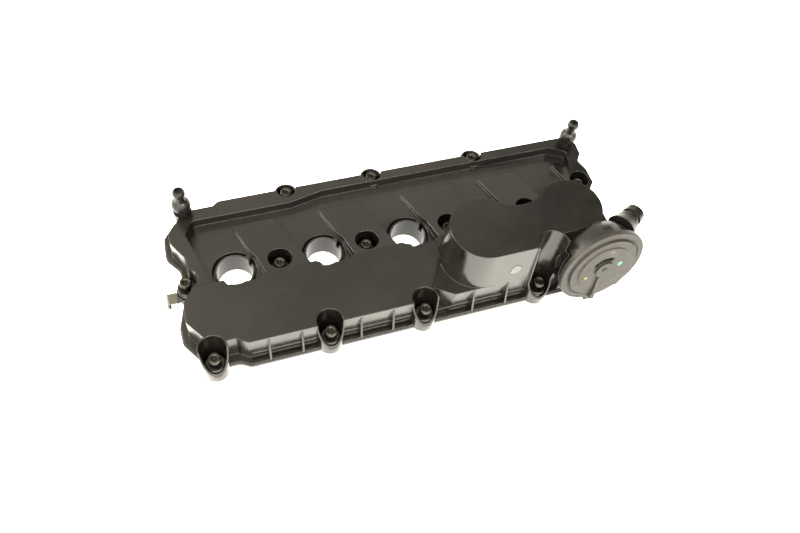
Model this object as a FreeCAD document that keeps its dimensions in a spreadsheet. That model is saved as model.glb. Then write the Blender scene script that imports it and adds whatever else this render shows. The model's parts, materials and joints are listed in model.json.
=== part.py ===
import FreeCAD, Part
import math
import os

import Sketcher

# Cylinder head cover of a five-cylinder in-line engine.
# Frame: X along the row of coil tubes, Y from the chamber side (front) to the rear rail, Z up.
# The origin is the axis of the middle coil tube, on the plane of the flange's sealing face.

SIZES = [
    # coil tubes and the deck that carries them
    ("coil_pitch", 88.0),
    ("tube_bore", 17.35),
    ("tube_outer", 19.0),
    ("ring_outer", 21.4),
    ("ring_depth", 8.0),
    ("deck_seat", 26.0),
    ("deck_slope_start", 24.0),
    ("deck_rear", 21.0),
    ("seal_width", 2.6),
    ("seal_height", 6.0),
    # flange, frame, separator chamber and vapour chamber
    ("wall", 3.0),
    ("flange_height", 6.0),
    ("boss_height", 8.0),
    ("boss_radius", 10.5),
    ("frame_top", 32.0),
    ("shelf_top", 36.0),
    ("box_top", 37.0),
    ("box_rear", -13.4),
    ("front_wall", -82.0),
    ("flange_front", -90.5),
    ("rail_outer", 80.0),
    ("chamber_top", 88.0),
    ("chamber_draft", 3.9),
    ("plate_height_front", 35.4),
    ("plate_height_rear", 26.6),
    ("plate_rear", 51.0),
    # captive screws, their sleeves and grommets
    ("front_row", -84.0),
    ("rear_row", 80.0),
    ("screw_length", 27.0),
    ("screw_radius", 3.0),
    ("screw_core", 2.6),
    ("head_radius", 5.8),
    ("head_height", 4.0),
    ("socket_radius", 2.9),
    ("socket_depth", 2.6),
    ("sleeve_bore", 3.4),
    ("sleeve_outer", 4.6),
    ("sleeve_flange", 8.2),
    ("sleeve_top", 17.0),
    ("sleeve_flange_height", 1.3),
    ("grommet_outer", 9.0),
    ("grommet_neck", 6.8),
    ("well_radius", 12.0),
    ("well_foot", 10.8),
    ("pocket_top", 12.4),
    ("collar_wall", 1.5),
    ("recess_radius", 10.3),
    ("rear_collar", 11.8),
    ("rear_collar_top", 24.0),
    # ball studs
    ("stud_x", 211.5),
    ("stud_head", 6.2),
    ("stud_neck", 3.4),
    ("stud_collar", 9.3),
    ("stud_shank", 3.0),
    # gasket
    ("gasket_width", 3.4),
    ("gasket_depth", 3.0),
    ("gasket_left", -209.0),
    ("gasket_right", 203.0),
    ("gasket_notch", 190.0),
    ("gasket_front", -74.0),
    ("gasket_rear", 66.0),
    # separator floor and its drain
    ("floor_low", 5.0),
    ("floor_thick", 3.0),
    ("drain_x", -70.0),
    ("drain_y", -44.0),
    ("drain_radius", 8.0),
    ("drain_bore", 6.0),
    ("drain_foot", 2.0),
    ("flap_radius", 7.4),
    ("flap_thick", 0.8),
    # pressure-regulating valve
    ("valve_x", 165.8),
    ("valve_y", -98.8),
    ("valve_z", 56.5),
    ("valve_turn", 3.0),
    ("valve_tilt", 10.0),
    ("lid_radius", 45.5),
    ("lid_rim", 5.0),
    ("pot_radius", 40.0),
    ("pot_back_radius", 36.5),
    ("pot_depth", 27.0),
    ("pot_wall", 2.4),
    ("spigot_radius", 12.0),
    ("spigot_bore", 9.6),
    ("spigot_length", 11.0),
    ("cradle_gap", 0.4),
    ("port_radius", 9.2),
    ("port_bore", 7.0),
    ("port_turn", 30.0),
    ("port_length", 27.0),
    ("spring_radius", 17.0),
    ("spring_wire", 0.8),
    ("clip_thick", 1.8),
]

doc = FreeCAD.newDocument("head_cover")
sheet = doc.addObject("Spreadsheet::Sheet", "Sizes")
for row, (alias, value) in enumerate(SIZES, start=1):
    sheet.set("A%d" % row, alias)
    sheet.set("B%d" % row, str(value))
    sheet.setAlias("B%d" % row, alias)
doc.recompute()

nodes = []
UP = FreeCAD.Vector(0, 0, 1)


def size(alias):
    return float(sheet.get(alias))


def vec(x, y, z=0.0):
    return FreeCAD.Vector(x, y, z)


def at(x, y, z=0.0):
    return FreeCAD.Placement(vec(x, y, z), FreeCAD.Rotation())


def keep(name, thing):
    """Register a finished sub-part under the name of its file."""
    thing.Label = name
    nodes.append((name, thing))
    return thing


def feature(name, shape, place=None):
    """A document object whose shape comes from Part's own functions."""
    thing = doc.addObject("Part::Feature", name)
    thing.Shape = shape
    if place is not None:
        thing.Placement = place
    return thing


# ---------------------------------------------------------------- drawing helpers

def rounded_wire(corners, z=0.0):
    """Closed wire through corners (x, y, radius), each corner rounded to its own radius."""
    edges = []
    ends = []
    count = len(corners)
    for i in range(count):
        x, y, radius = corners[i]
        here = vec(x, y, z)
        before = vec(corners[i - 1][0], corners[i - 1][1], z) - here
        after = vec(corners[(i + 1) % count][0], corners[(i + 1) % count][1], z) - here
        before.normalize()
        after.normalize()
        half = before.getAngle(after) / 2.0
        if radius <= 0 or half > math.radians(89.5):
            ends.append((here, here))
            continue
        reach = radius / math.tan(half)
        first = here + before * reach
        last = here + after * reach
        middle = before + after
        middle.normalize()
        crown = here + middle * (radius / math.sin(half) - radius)
        ends.append((first, last))
        edges.append((i, Part.Arc(first, crown, last).toShape()))
    arcs = dict(edges)
    loop = []
    for i in range(count):
        if i in arcs:
            loop.append(arcs[i])
        start = ends[i][1]
        stop = ends[(i + 1) % count][0]
        if (stop - start).Length > 1e-6:
            loop.append(Part.makeLine(start, stop))
    return Part.Wire(loop)


def slab(corners, low, high):
    """Upright block on a rounded outline."""
    face = Part.Face(rounded_wire(corners, low))
    return face.extrude(vec(0, 0, high - low))


def inset(corners, low, high, depth):
    """The same block drawn in by depth all round."""
    face = Part.Face(rounded_wire(corners, low))
    return face.makeOffset2D(-depth, 0, False, False, False).extrude(vec(0, 0, high - low))


def under_slope(front, rear, front_height, rear_height, low=-5.0):
    """Everything below a plane that falls from front to rear, as one wedge along X."""
    steep = (rear_height - front_height) / (rear - front)
    near = -120.0
    far = 120.0
    points = [
        vec(-300, near, low),
        vec(-300, far, low),
        vec(-300, far, front_height + steep * (far - front)),
        vec(-300, near, front_height + steep * (near - front)),
        vec(-300, near, low),
    ]
    return Part.Face(Part.makePolygon(points)).extrude(vec(600, 0, 0))


def rod(x, y, radius, low, high):
    return Part.makeCylinder(radius, high - low, vec(x, y, low), UP)


def leaning_cup(x, y_low, radius_low, z_low, y_high, radius_high, z_high):
    """Round pocket that leans and widens from its foot to its mouth."""
    foot = Part.Wire(Part.makeCircle(radius_low, vec(x, y_low, z_low), UP))
    mouth = Part.Wire(Part.makeCircle(radius_high, vec(x, y_high, z_high), UP))
    return Part.makeLoft([foot, mouth], True, True)


def join(shapes):
    return shapes[0].multiFuse(shapes[1:]).removeSplitter()


# ---------------------------------------------------------------- PartDesign helpers

def plane_of(body, role):
    return [f for f in body.Origin.OriginFeatures if f.Role == role][0]


def drawn(body, name, plane, points):
    """Closed sketch through points whose two coordinates are expressions on the sheet."""
    sketch = body.newObject("Sketcher::SketchObject", name)
    sketch.AttachmentSupport = (plane_of(body, plane), [""])
    sketch.MapMode = "FlatFace"
    places = [(body.evalExpression(str(a)), body.evalExpression(str(b))) for a, b in points]
    places = [(float(a), float(b)) for a, b in places]
    count = len(points)
    for i in range(count):
        a = places[i]
        b = places[(i + 1) % count]
        sketch.addGeometry(Part.LineSegment(vec(a[0], a[1]), vec(b[0], b[1])), False)
    for i in range(count):
        sketch.addConstraint(Sketcher.Constraint("Coincident", i, 2, (i + 1) % count, 1))
    for i in range(count):
        for kind, axis, value, formula in (
            ("DistanceX", -2, places[i][0], points[i][0]),
            ("DistanceY", -1, places[i][1], points[i][1]),
        ):
            if abs(value) < 1e-9:
                sketch.addConstraint(Sketcher.Constraint("PointOnObject", i, 1, axis))
                continue
            number = sketch.addConstraint(Sketcher.Constraint(kind, -1, 1, i, 1, value))
            sketch.setExpression("Constraints[%d]" % number, str(formula))
    return sketch


def turned(name, profile, place=None, node=True):
    """A piece turned about its own Z axis from a profile of (radius, height) expressions."""
    body = doc.addObject("PartDesign::Body", name)
    sketch = drawn(body, name + "_profile", "XZ_Plane", profile)
    turn = body.newObject("PartDesign::Revolution", name + "_turn")
    turn.Profile = sketch
    turn.ReferenceAxis = (sketch, ["V_Axis"])
    turn.Angle = 360.0
    body.Tip = turn
    if place is not None:
        body.Placement = place
    if node:
        keep(name, body)
    return body


def padded(name, plane, points, depth, place=None, node=True):
    """A piece padded from a straight-sided outline of expressions."""
    body = doc.addObject("PartDesign::Body", name)
    sketch = drawn(body, name + "_outline", plane, points)
    pad = body.newObject("PartDesign::Pad", name + "_pad")
    pad.Profile = sketch
    pad.setExpression("Length", depth)
    body.Tip = pad
    if place is not None:
        body.Placement = place
    if node:
        keep(name, body)
    return body


def group(name, pattern, places):
    """Identical separate solids in one node."""
    return keep(name, feature(name, Part.makeCompound([
        pattern.Shape.transformed(place.toMatrix(), copy=True) for place in places
    ])))


# ---------------------------------------------------------------- where things stand

PITCH = size("coil_pitch")
COILS = [i * PITCH for i in (-2, -1, 0, 1, 2)]
WELLS = [(i + 0.5) * PITCH for i in (-2, -1, 0, 1)]
TALL_SCREW = 112.4
FRONT_SCREWS = [(x, size("front_row")) for x in (-212.0, -103.8, -9.5, TALL_SCREW, 204.0)]
REAR_SCREWS = [(x, size("rear_row")) for x in (-106.6, -14.6, 100.8)]
END_LEFT = (-222.8, -0.7)
END_RIGHT = (205.5, 21.5)
SCREWS = (
    [("flange_screw_%d" % (i + 1), p) for i, p in enumerate(FRONT_SCREWS + REAR_SCREWS)]
    + [("end_screw_left", END_LEFT), ("end_screw_right", END_RIGHT)]
    + [("well_screw_%d" % (i + 1), (x, 0.0)) for i, x in enumerate(WELLS)]
)
STUDS = [("ball_stud_left", -size("stud_x"), 77.0), ("ball_stud_right", size("stud_x"), 73.0)]

# The valve's own frame: its Z points out of the lid, its Y up along the lid.
turn_angle = math.radians(size("valve_turn"))
tilt_angle = math.radians(size("valve_tilt"))
VALVE_OUT = vec(
    math.sin(turn_angle) * math.cos(tilt_angle),
    -math.cos(turn_angle) * math.cos(tilt_angle),
    math.sin(tilt_angle),
)
VALVE_SIDE = UP.cross(VALVE_OUT)
VALVE_SIDE.normalize()
VALVE = FreeCAD.Placement(
    vec(size("valve_x"), size("valve_y"), size("valve_z")),
    FreeCAD.Rotation(VALVE_SIDE, VALVE_OUT.cross(VALVE_SIDE), VALVE_OUT, "ZXY"),
)


def on_valve(z, x=0.0, y=0.0):
    """Placement in the valve's frame, z along its axis."""
    return VALVE.multiply(at(x, y, z))


# Hose port: its open end and the way it points.
PORT_END = vec(217.5, -56.5, 73.0)
port_angle = math.radians(size("port_turn"))
PORT_OUT = vec(math.cos(port_angle), math.sin(port_angle), 0)


def port_round(radius, start, end):
    """Cylinder on the hose port's axis, measured back from its open end."""
    return Part.makeCylinder(radius, end - start, PORT_END - PORT_OUT * end, PORT_OUT)


def port_outside(grow):
    """The grey socket on the valve's body that carries the port."""
    reach = size("port_length")
    radius = size("port_radius") + 2.6 + grow
    cone = Part.makeCone(15.0 + grow, radius, 9.0, PORT_END - PORT_OUT * reach, PORT_OUT)
    return [cone, port_round(radius, 15.5 - grow, reach)]


# ---------------------------------------------------------------- outlines of the cover

FRONT = size("front_wall")
FLANGE_FRONT = size("flange_front")
RAIL = size("rail_outer")
BOX_REAR = size("box_rear")

FLANGE = [
    (-202, -85, 4), (-190, -85, 8), (-181, FLANGE_FRONT, 8), (212, FLANGE_FRONT, 8),
    (217, -70, 8), (217, 6, 8), (224, 14, 6), (224, 34, 6), (221, 45, 5), (228, 56, 6),
    (228, 70, 8), (219, 86, 10), (-219, 86, 10), (-235, 66, 10), (-237, 42, 12),
    (-226, 26, 12), (-226, 4, 4), (-229, -12, 6), (-237, -36, 12), (-237, -53, 12),
    (-220, -80, 6),
]

# The frame's top outline: both end blocks and the rear rail.
FRAME = [
    (-218, -66, 4), (-202, -75, 3), (-190, -75, 5), (-180, FRONT, 5), (-10, FRONT, 0),
    (1, -69.4, 1), (21, FRONT, 1), (208, FRONT, 6), (212, -70, 6), (211, 6, 5),
    (218.5, 14, 5), (218.5, 32, 4), (214, 45, 4), (221, 54, 5), (222, 69, 6),
    (213, RAIL, 8), (-176, RAIL, 3), (-182, 75.5, 3), (-213, 75.5, 6), (-221, 61, 6),
    (-229.5, 53, 6), (-229.5, 42, 6), (-224, 31.5, 14), (-218.5, 22, 10), (-218.5, -13, 1),
    (-229, -29, 8), (-230, -48, 10),
]

# The sloping deck, cut down inside the frame.
DECK = [
    (-198.5, BOX_REAR - 3, 0), (-214, 48, 3), (-205, 62.5, 8), (-106, 62.5, 6),
    (-72, 69.5, 3), (188, 69.5, 1), (206, 60, 4), (190, BOX_REAR - 3, 0),
]

# The separator chamber's roof; its rear edge steps in round each coil tube.
BOX = [
    (-217, BOX_REAR, 2), (60, BOX_REAR, 0), (60, FRONT, 0), (21, FRONT, 1), (1, -69.4, 1),
    (-10, FRONT, 0), (-180, FRONT, 5), (-190, -75, 5), (-202, -75, 3), (-218, -66, 4),
    (-230, -48, 8), (-228.5, -29, 6),
]

PANEL_END = [(22, BOX_REAR, 0), (22, -27, 4), (16.5, -45, 8), (0.6, -69.6, 0)]
PANEL = [BOX[0]] + PANEL_END + BOX[5:]

# Reliefs in the box's rear edge: the steep left corner of each creeps along the row.
RELIEF_STEP = 3.3


def relief(number, coil, low, high):
    left = -12.7 + RELIEF_STEP * number
    corners = [
        (coil + left, BOX_REAR + 1, 0), (coil + left, BOX_REAR, 1), (coil + left + 4.5, -22, 3),
        (coil + 2 + 1.2 * number, -25.4, 10 - 2.5 * number), (coil + 15, -23, 6),
        (coil + 28, BOX_REAR, 3),
        (coil + 29, BOX_REAR + 1, 0),
    ]
    return slab(corners, low, high)


# ---------------------------------------------------------------- vapour chamber

BIG = (54.2, -45.5, 34.0)
SMALL = (146.8, -42.3, 31.5)
WAIST = 35.0
STEP_BACK = 9.8


def touching(first, second, first_reach, second_reach):
    """Rear one of the two points at given distances from two centres."""
    span_x = second[0] - first[0]
    span_y = second[1] - first[1]
    span = math.hypot(span_x, span_y)
    along = (first_reach ** 2 - second_reach ** 2 + span ** 2) / (2 * span)
    off = math.sqrt(first_reach ** 2 - along ** 2)
    return (
        first[0] + along * span_x / span - off * span_y / span,
        first[1] + along * span_y / span + off * span_x / span,
    )


def polar(centre, radius, degrees):
    angle = math.radians(degrees)
    return (centre[0] + radius * math.cos(angle), centre[1] + radius * math.sin(angle))


def bearing(start, end):
    return math.degrees(math.atan2(end[1] - start[1], end[0] - start[0]))


def arc3(centre, radius, start, end, z):
    points = [polar(centre, radius, a) for a in (start, (start + end) / 2.0, end)]
    return Part.Arc(*[vec(p[0], p[1], z) for p in points]).toShape()


def chamber_wire(grow, z):
    """Kidney outline: two round ends, a hollow waist at the rear, a stepped straight front."""
    big_radius = BIG[2] + grow
    small_radius = SMALL[2] + grow
    waist_radius = WAIST - grow
    waist = touching(BIG, SMALL, big_radius + waist_radius, small_radius + waist_radius)
    big_turn = bearing(BIG, waist)
    small_turn = bearing(SMALL, waist)
    front = BIG[1] - big_radius
    step = front + STEP_BACK
    cut_start = -math.degrees(math.acos(21.0 / SMALL[2]))
    cut_point = polar(SMALL, small_radius, cut_start)
    line = [
        (BIG[0], front), (111.0, front), (121.0, step), (139.0, step), cut_point,
    ]
    edges = []
    for a, b in zip(line[:-1], line[1:]):
        edges.append(Part.makeLine(vec(a[0], a[1], z), vec(b[0], b[1], z)))
    edges.append(arc3(SMALL, small_radius, cut_start, small_turn, z))
    waist_from = bearing(waist, SMALL)
    waist_to = bearing(waist, BIG)
    edges.append(arc3(waist, waist_radius, waist_from, waist_to, z))
    edges.append(arc3(BIG, big_radius, big_turn, 270.0, z))
    return Part.Wire(Part.__sortEdges__(edges))


def chamber(grow, low, high):
    top_grow = grow + size("chamber_draft") * (size("chamber_top") - high) / size("chamber_top")
    low_grow = grow + size("chamber_draft") * (size("chamber_top") - low) / size("chamber_top")
    return Part.makeLoft([chamber_wire(low_grow, low), chamber_wire(top_grow, high)], True, True)


# ---------------------------------------------------------------- cover moulding

WALL = size("wall")
FLANGE_TOP = size("flange_height")
BOSS_TOP = size("boss_height")
FRAME_TOP = size("frame_top")
SEAT = size("deck_seat")
CHAMBER_TOP = size("chamber_top")

# Opening inside the sealing flange; at the right it passes outside the fifth tube and then
# inside the end screw.
LIP = [
    (-205, -70.3, 8), (198.6, -70.3, 8), (198.6, 10, 4), (186, 20, 4), (186, 62.3, 8),
    (-205, 62.3, 8),
]


def below_deck(drop):
    """Everything under the deck: flat round the coils, then falling to the rear."""
    start = size("deck_slope_start")
    rear = size("deck_rear") - drop
    front = SEAT - drop
    points = [
        vec(-300, -120, -5), vec(-300, 120, -5), vec(-300, 120, rear), vec(-300, 69, rear),
        vec(-300, start, front), vec(-300, -120, front), vec(-300, -120, -5),
    ]
    return Part.Face(Part.makePolygon(points)).extrude(vec(600, 0, 0))


def below_plates(drop):
    front = size("plate_height_front") - drop
    rear = size("plate_height_rear") - drop
    return under_slope(BOX_REAR, size("plate_rear"), front, rear)


def plate_outline(number):
    """A raised plate between two coils: slanted sides, bent once beside its own coil."""
    coil = COILS[number]
    rear = size("plate_rear")
    left = [(coil + 27.5, BOX_REAR - 2, 0), (coil + 22.2, 8, 6), (coil + 17.3, 17, 6)]
    start = (coil + 7.5, rear, 1)
    if number == 4:
        return [(coil + 32, BOX_REAR - 2, 0), (coil + 30, 41, 2), start] + left[::-1]
    following = coil + PITCH
    spread = -20 if number == 2 else -38
    right = [(following - 16, BOX_REAR - 2, 0), (following - 22.3, 4.5, 3)]
    return right + [(following + spread, rear + 1, 2), start] + left[::-1]


def gusset(x):
    """Upright rib, thin at the top of the front wall, running out to the flange's edge."""
    rear = FRONT + 1.0
    points = [
        vec(x - 1, rear, FRAME_TOP + 2), vec(x - 1, FRONT - 0.3, FRAME_TOP + 2),
        vec(x - 1, FLANGE_FRONT + 1.0, FLANGE_TOP + 1.5),
        vec(x - 1, FLANGE_FRONT + 1.0, FLANGE_TOP - 1), vec(x - 1, rear, FLANGE_TOP - 1),
        vec(x - 1, rear, FRAME_TOP + 2),
    ]
    return Part.Face(Part.makePolygon(points)).extrude(vec(2, 0, 0))


def front_pocket(x, grow=0.0):
    """Pocket over a front screw; the one in the vapour chamber is the tall one."""
    tall = x == TALL_SCREW
    top = CHAMBER_TOP if tall else size("box_top")
    mouth = 15.0 if tall else size("pocket_top")
    reach = (top + 1 - BOSS_TOP) / (top - BOSS_TOP)
    foot = size("well_foot")
    front = size("front_row")
    return leaning_cup(
        x, front, foot + grow, BOSS_TOP,
        front + 5.0 * reach, foot + (mouth - foot) * reach + grow, top + 1,
    )


def front_collar(x):
    """Cup round a front screw: its rim climbs from the flange to the top of the front wall."""
    front = size("front_row")
    radius = size("well_foot") + size("collar_wall")
    head = CHAMBER_TOP if x == TALL_SCREW else size("box_top")
    cup = front_pocket(x, size("collar_wall")).fuse(rod(x, front, radius, 0, BOSS_TOP))
    rim = [
        vec(x - 30, -50, -5), vec(x - 30, -50, head), vec(x - 30, FRONT + 1.5, head),
        vec(x - 30, FRONT - 3.0, 26), vec(x - 30, front - radius, BOSS_TOP + 2.5),
        vec(x - 30, front - radius - 5, BOSS_TOP + 2.5), vec(x - 30, front - radius - 5, -5),
        vec(x - 30, -50, -5),
    ]
    side = Part.Face(Part.makePolygon(rim)).extrude(vec(60, 0, 0))
    return cup.common(side).cut(pot_room(size("cradle_gap")))


def valve_round(radius, start, end):
    shape = Part.makeCylinder(radius, end - start, vec(0, 0, start), UP)
    return shape.transformed(VALVE.toMatrix(), copy=True)


def valve_sector(inner, outer, start, end, first_angle, last_angle):
    """Part of a ring about the valve's axis."""
    ring = Part.makeCylinder(outer, end - start, vec(0, 0, start), UP, last_angle - first_angle)
    core = Part.makeCylinder(inner, end - start + 2, vec(0, 0, start - 1), UP)
    ring.rotate(vec(0, 0, 0), UP, first_angle)
    return ring.cut(core).transformed(VALVE.toMatrix(), copy=True)


def pot_room(gap):
    """Space of the valve's body drawn out by gap: a cone at the back, open to the front."""
    depth = size("pot_depth")
    slant = 8.0
    cone = Part.makeCone(size("pot_back_radius") + gap, size("pot_radius") + gap, slant + gap,
                         vec(0, 0, -depth - gap), UP)
    tube = Part.makeCylinder(size("pot_radius") + gap, depth + 60, vec(0, 0, slant - depth), UP)
    return cone.fuse(tube).transformed(VALVE.toMatrix(), copy=True)


def cradle():
    """Black socket that carries the valve: half a collar, its back and the foot under it."""
    inner = size("pot_radius") + size("cradle_gap")
    back = -size("pot_depth") - size("cradle_gap")
    collar = valve_sector(inner, inner + WALL, back - WALL, -9.0, 150.0, 300.0)
    disc = valve_sector(size("spigot_radius") + 0.5, inner + WALL, back - WALL, back, 150.0, 300.0)
    hub = valve_sector(size("spigot_radius") + 0.5, 24.0, back - WALL, back, 0.0, 360.0)
    socket = valve_round(size("spigot_radius") + 0.5 + WALL, back - 15, back)
    foot = slab([(136, FLANGE_FRONT + 2, 2), (188, FLANGE_FRONT + 2, 2), (188, -60, 2),
                 (136, -60, 2)], FLANGE_TOP - 1, 40)
    hollow = slab([(139, -100, 0), (185, -100, 0), (185, -63, 2), (139, -63, 2)], 9, 26)
    return [collar, disc, hub, socket, foot.cut(hollow)]


def coil_bridge(coil):
    """Locating block across the ring groove, at the rear right of each tube."""
    block = Part.makeBox(6.5, 5.0, 7.0, vec(18.0, -2.5, SEAT - 5.5))
    block.rotate(vec(0, 0, 0), UP, 38.0)
    return block.translated(vec(coil, 0, 0))


def coil_notch(coil):
    """Slot in the tube's rim beside the block."""
    slot = Part.makeBox(5.0, 4.5, 9.0, vec(16.0, -2.25, SEAT - 7.0))
    slot.rotate(vec(0, 0, 0), UP, 22.0)
    return slot.translated(vec(coil, 0, 0))


def ring_between(inner, outer, coil, low, high):
    return rod(coil, 0, outer, low, high).cut(rod(coil, 0, inner, low - 1, high + 1))


def gasket_ring(spare, low, high):
    """Band that runs round the flange inside the screws, drawn out by spare on both sides."""
    half = size("gasket_width") / 2.0 + spare
    left = size("gasket_left")
    right = size("gasket_right")
    notch = size("gasket_notch")
    front = size("gasket_front")
    rear = size("gasket_rear")
    course = [(left, front, 10), (right, front, 10), (right, 11, 5), (notch, 21, 5),
              (notch, rear, 10), (left, rear, 10)]
    return inset(course, low, high, -half).cut(inset(course, low - 1, high + 1, half))


def cover_outside():
    blocks = [slab(FLANGE, 0, FLANGE_TOP - 2.5), inset(FLANGE, 0, FLANGE_TOP, 1.2)]
    for x, y in (END_LEFT, END_RIGHT):
        blocks.append(rod(x, y, size("boss_radius"), 0, BOSS_TOP))
    for x, y in REAR_SCREWS:
        blocks.append(rod(x, y, size("rear_collar"), 0, size("rear_collar_top")))
    blocks.extend(front_collar(x) for x, y in FRONT_SCREWS)
    for name, x, y in STUDS:
        blocks.append(rod(x, y, 9.0, 0, FRAME_TOP))
    blocks.append(slab(FRAME, 5, FRAME_TOP).cut(slab(DECK, 0, 60).cut(below_deck(0))))
    for number in range(5):
        blocks.append(slab(plate_outline(number), 15, 50).common(below_plates(0)))
    box = slab(BOX, 5, size("shelf_top")).fuse(slab(PANEL, 30, size("box_top")))
    reliefs = [relief(i, COILS[i], SEAT, 60) for i in range(3)]
    blocks.append(box.cut(reliefs))
    before_wall = Part.makeBox(600, 40, FRAME_TOP - 1.5, vec(-300, FRONT - 40, 0))
    blocks.append(chamber(0, 5, CHAMBER_TOP).cut(before_wall))
    blocks.append(Part.makeBox(386, 1.6, 1.8, vec(-178, FRONT - 1.2, 12.5)))
    blocks.extend(gusset(x) for x in (-162, -131, -74, -42, 41, 77))
    blocks.extend(cradle())
    return join(blocks)


def cover_keepers():
    """Stock that stays inside the hollow: round every pocket, well, tube and stud."""
    stock = [front_pocket(x, WALL) for x, y in FRONT_SCREWS]
    stock += [rod(x, y, 13.0, BOSS_TOP - 3, 60) for x, y in REAR_SCREWS]
    stock += [rod(x, y, 14.5, 0, 60) for x, y in (END_LEFT, END_RIGHT)]
    stock += [rod(x, 0, size("well_radius") + 2.4, 0, 60) for x in WELLS]
    stock += [rod(x, y, 9.0, 0, 60) for name, x, y in STUDS]
    stock += [rod(x, 0, size("tube_outer"), 0, 60) for x in COILS]
    stock += [rod(x, 0, size("ring_outer") + WALL, SEAT - size("ring_depth") - WALL, SEAT)
              for x in COILS]
    stock.append(rod(COILS[4], 0, size("ring_outer") + 2 + WALL, SEAT - WALL, 60 + WALL))
    stock.append(Part.makeBox(391, 3, 13, vec(-205, -29, size("floor_low"))))
    stock.append(Part.makeBox(391, 15.6, 3, vec(-205, -29, 15)))
    back = -size("pot_depth") - size("cradle_gap") - WALL
    stock.append(pot_room(size("cradle_gap") + WALL))
    stock.append(valve_round(size("spigot_radius") + 0.5 + WALL, back - 12, back + 5))
    return join(stock)


def cover_hollow():
    """The inside of the shell, each part of it up to its own roof."""
    roof_zone = inset(DECK, 0, 60, -WALL).cut(below_deck(WALL))
    frame_room = inset(FRAME, BOSS_TOP, FRAME_TOP - WALL, WALL).cut(roof_zone)
    box_room = inset(BOX, BOSS_TOP, size("shelf_top") - WALL, WALL)
    by_coils = [
        slab([(coil - 17, -40, 0), (coil + 33, -40, 0), (coil + 33, 0, 0), (coil - 17, 0, 0)],
             SEAT - WALL, 60) for coil in COILS[:3]
    ]
    behind = slab([(-260, -28.6, 0), (80, -28.6, 0), (80, 20, 0), (-260, 20, 0)], 0, 60)
    box_room = box_room.cut(by_coils).fuse(box_room.cut(behind))
    rooms = [slab(LIP, -1, 18).cut(roof_zone), frame_room, box_room]
    rooms.append(chamber(-WALL, BOSS_TOP, CHAMBER_TOP - WALL))
    for number in range(4):
        plate = inset(plate_outline(number), 15, 50, WALL)
        rooms.append(plate.common(below_plates(WALL)))
    return join(rooms)


def cover_cuts():
    tools = [rod(x, 0, size("tube_bore"), -1, SEAT + 2) for x in COILS]
    depth = size("ring_depth")
    for x in COILS:
        groove = ring_between(size("tube_outer"), size("ring_outer"), x, SEAT - depth, SEAT + 0.5)
        tools.append(groove.cut(coil_bridge(x)))
        tools.append(coil_notch(x))
    for x in WELLS:
        tools.append(leaning_cup(x, 0, size("well_foot"), BOSS_TOP, 0, size("well_radius"), 38))
    tools += [rod(x, y, 10.0, BOSS_TOP, 60) for x, y in REAR_SCREWS]
    tools.append(rod(END_LEFT[0], END_LEFT[1], 11.5, BOSS_TOP, 60))
    tools.append(rod(END_RIGHT[0], END_RIGHT[1], size("recess_radius"), BOSS_TOP, 60))
    tools += [rod(x, 0, size("tube_bore") + 0.4, SEAT, 60) for x in COILS]
    tools += [rod(p[0], p[1], size("grommet_neck"), -1, BOSS_TOP + 1) for name, p in SCREWS]
    tools += [rod(x, y, size("sleeve_bore"), -1, 60) for name, x, y in STUDS]
    tools.append(gasket_ring(0.1, -1, size("gasket_depth")))
    back = -size("pot_depth") - size("cradle_gap")
    tools.append(pot_room(size("cradle_gap")))
    tools.append(valve_round(size("spigot_radius") + 0.5, back - 16, back + 1))
    tools += port_outside(size("cradle_gap"))
    tools.append(rod(COILS[4], 0, size("ring_outer") + 2, SEAT, 60))
    return tools


def build_cover():
    shell = cover_outside().cut(cover_hollow().cut(cover_keepers()))
    shell = shell.fuse([coil_bridge(x) for x in COILS])
    shell = shell.cut([front_pocket(x) for x, y in FRONT_SCREWS]).cut(cover_cuts())
    solids = sorted(shell.Solids, key=lambda s: s.Volume)
    return solids[-1]


keep("cover_body", feature("cover_body", build_cover()))

# ---------------------------------------------------------------- seals under the cover

keep("cover_gasket", feature("cover_gasket", gasket_ring(0.0, 0, size("gasket_depth") - 0.05)))

for number, coil in enumerate(COILS, start=1):
    turned("tube_seal_%d" % number, [
        ("Sizes.tube_outer + 0.05", "0"),
        ("Sizes.tube_outer + Sizes.seal_width", "0"),
        ("Sizes.tube_outer + Sizes.seal_width", "Sizes.seal_height / 2 - 0.8"),
        ("Sizes.tube_outer + Sizes.seal_width - 0.9", "Sizes.seal_height / 2"),
        ("Sizes.tube_outer + Sizes.seal_width", "Sizes.seal_height / 2 + 0.8"),
        ("Sizes.tube_outer + Sizes.seal_width", "Sizes.seal_height"),
        ("Sizes.tube_outer + 0.05", "Sizes.seal_height"),
    ], at(coil, 0))

# ---------------------------------------------------------------- captive screws

SCREW_PROFILE = [
    ("0", "0"),
    ("Sizes.screw_core", "0"),
    ("Sizes.screw_radius", "1"),
    ("Sizes.screw_radius", "Sizes.screw_length - Sizes.head_height"),
    ("Sizes.head_radius", "Sizes.screw_length - Sizes.head_height"),
    ("Sizes.head_radius", "Sizes.screw_length - 0.8"),
    ("Sizes.head_radius - 0.8", "Sizes.screw_length"),
    ("Sizes.socket_radius", "Sizes.screw_length"),
    ("Sizes.socket_radius", "Sizes.screw_length - Sizes.socket_depth"),
    ("0", "Sizes.screw_length - Sizes.socket_depth"),
]
for name, (x, y) in SCREWS:
    turned(name, SCREW_PROFILE, at(x, y))

sleeve = turned("sleeve_pattern", [
    ("Sizes.sleeve_bore", "0.6"),
    ("Sizes.sleeve_outer", "0.6"),
    ("Sizes.sleeve_outer", "Sizes.sleeve_top - Sizes.sleeve_flange_height"),
    ("Sizes.sleeve_flange", "Sizes.sleeve_top - Sizes.sleeve_flange_height"),
    ("Sizes.sleeve_flange", "Sizes.sleeve_top"),
    ("Sizes.sleeve_bore", "Sizes.sleeve_top"),
], node=False)

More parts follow.
